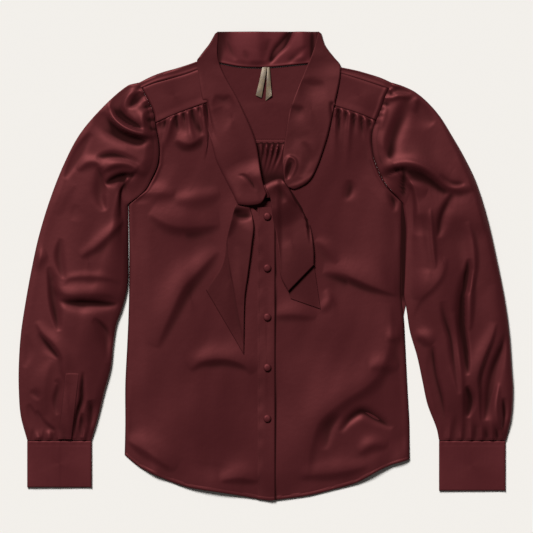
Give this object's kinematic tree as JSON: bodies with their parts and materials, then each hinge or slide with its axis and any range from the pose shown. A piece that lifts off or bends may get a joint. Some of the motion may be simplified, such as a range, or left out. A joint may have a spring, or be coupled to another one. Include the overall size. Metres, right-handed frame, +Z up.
{
  "type": "satin blouse with a neck tie, laid flat",
  "caption": "Long-sleeved satin blouse with a half-knotted neck tie, yoke, covered-button front, full gathered sleeves and deep cuffs, lying flat on its back.",
  "frame": {"origin": "on the surface it lies on, under the middle of the whole outline", "axes": "+Z up from the surface, +Y from the hem towards the neck, +X towards the wearer's left sleeve"},
  "size_m": [0.7661, 0.726, 0.0164],
  "materials": {
    "satin": "satin",
    "button_cover": "satin",
    "ribbon": "satin"
  },
  "bodies": {
    "root": {"back_panel": "satin", "back_yoke": "satin", "button_1": "button_cover", "button_2": "button_cover", "button_3": "button_cover", "button_4": "button_cover", "button_5": "button_cover", "button_band": "satin", "collar_back": "satin", "cuff_left": "satin", "cuff_right": "satin", "front_left": "satin", "front_right": "satin", "front_yoke_left": "satin", "front_yoke_right": "satin", "ribbon_leg_1": "ribbon", "ribbon_leg_2": "ribbon", "sleeve_left": "satin", "sleeve_right": "satin", "sleeve_strip_right": "satin", "tie_band_left": "satin", "tie_band_right": "satin", "tie_end_left": "satin", "tie_end_right": "satin", "tie_knot": "satin"}
  },
  "joints": []
}
